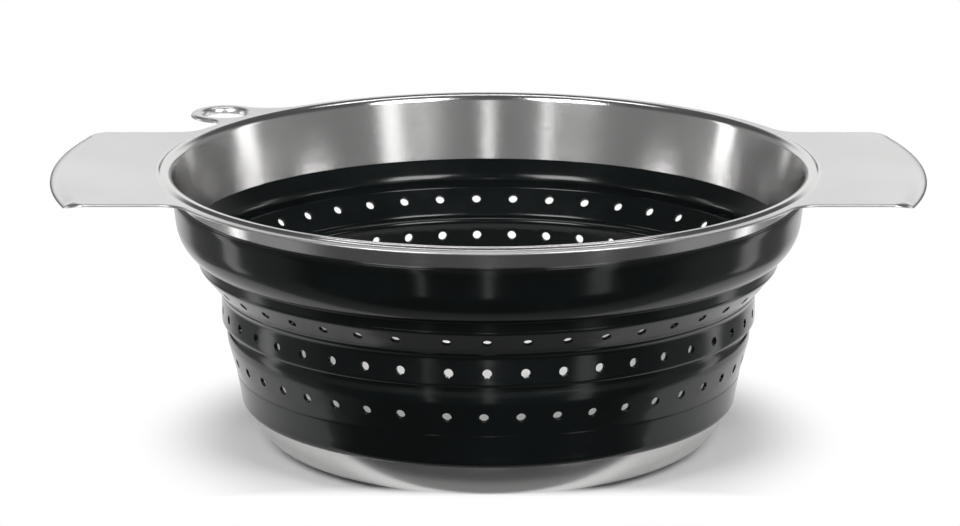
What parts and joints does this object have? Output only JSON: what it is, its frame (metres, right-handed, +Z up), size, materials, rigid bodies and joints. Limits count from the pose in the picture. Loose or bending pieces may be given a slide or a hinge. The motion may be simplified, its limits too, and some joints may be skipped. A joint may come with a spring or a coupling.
{
  "type": "collapsible colander",
  "caption": "Collapsible colander with a steel rim, flat side handles and a hanging eyelet, a perforated silicone wall that folds flat, and a steel base dish.",
  "frame": {"origin": "The centre of the base's foot ring, on the table that the colander stands on.", "axes": "+Z runs up the bowl's axis, +X runs out through the right-hand handle of the picture, and +Y points away from the picture's camera."},
  "size_m": [0.326, 0.253, 0.1051],
  "materials": {
    "steel": "polished and finely brushed stainless steel",
    "silicone": "smooth, glossy black silicone"
  },
  "bodies": {
    "base": {"base_dish": "steel", "lower_band": "silicone", "lower_fold": "silicone"},
    "middle": {"middle_band": "silicone"},
    "rim": {"rim_ring": "steel", "upper_band": "silicone", "upper_fold": "silicone"}
  },
  "joints": [
    {"name": "lower_fold_travel", "type": "slide", "parent": "base", "child": "middle", "axis": [0, 0, -1], "range_m": [0, 0.0362], "deforming": ["lower_fold"]},
    {"name": "upper_fold_travel", "type": "slide", "parent": "middle", "child": "rim", "axis": [0, 0, -1], "range_m": [0, 0.021], "deforming": ["upper_fold"]}
  ]
}
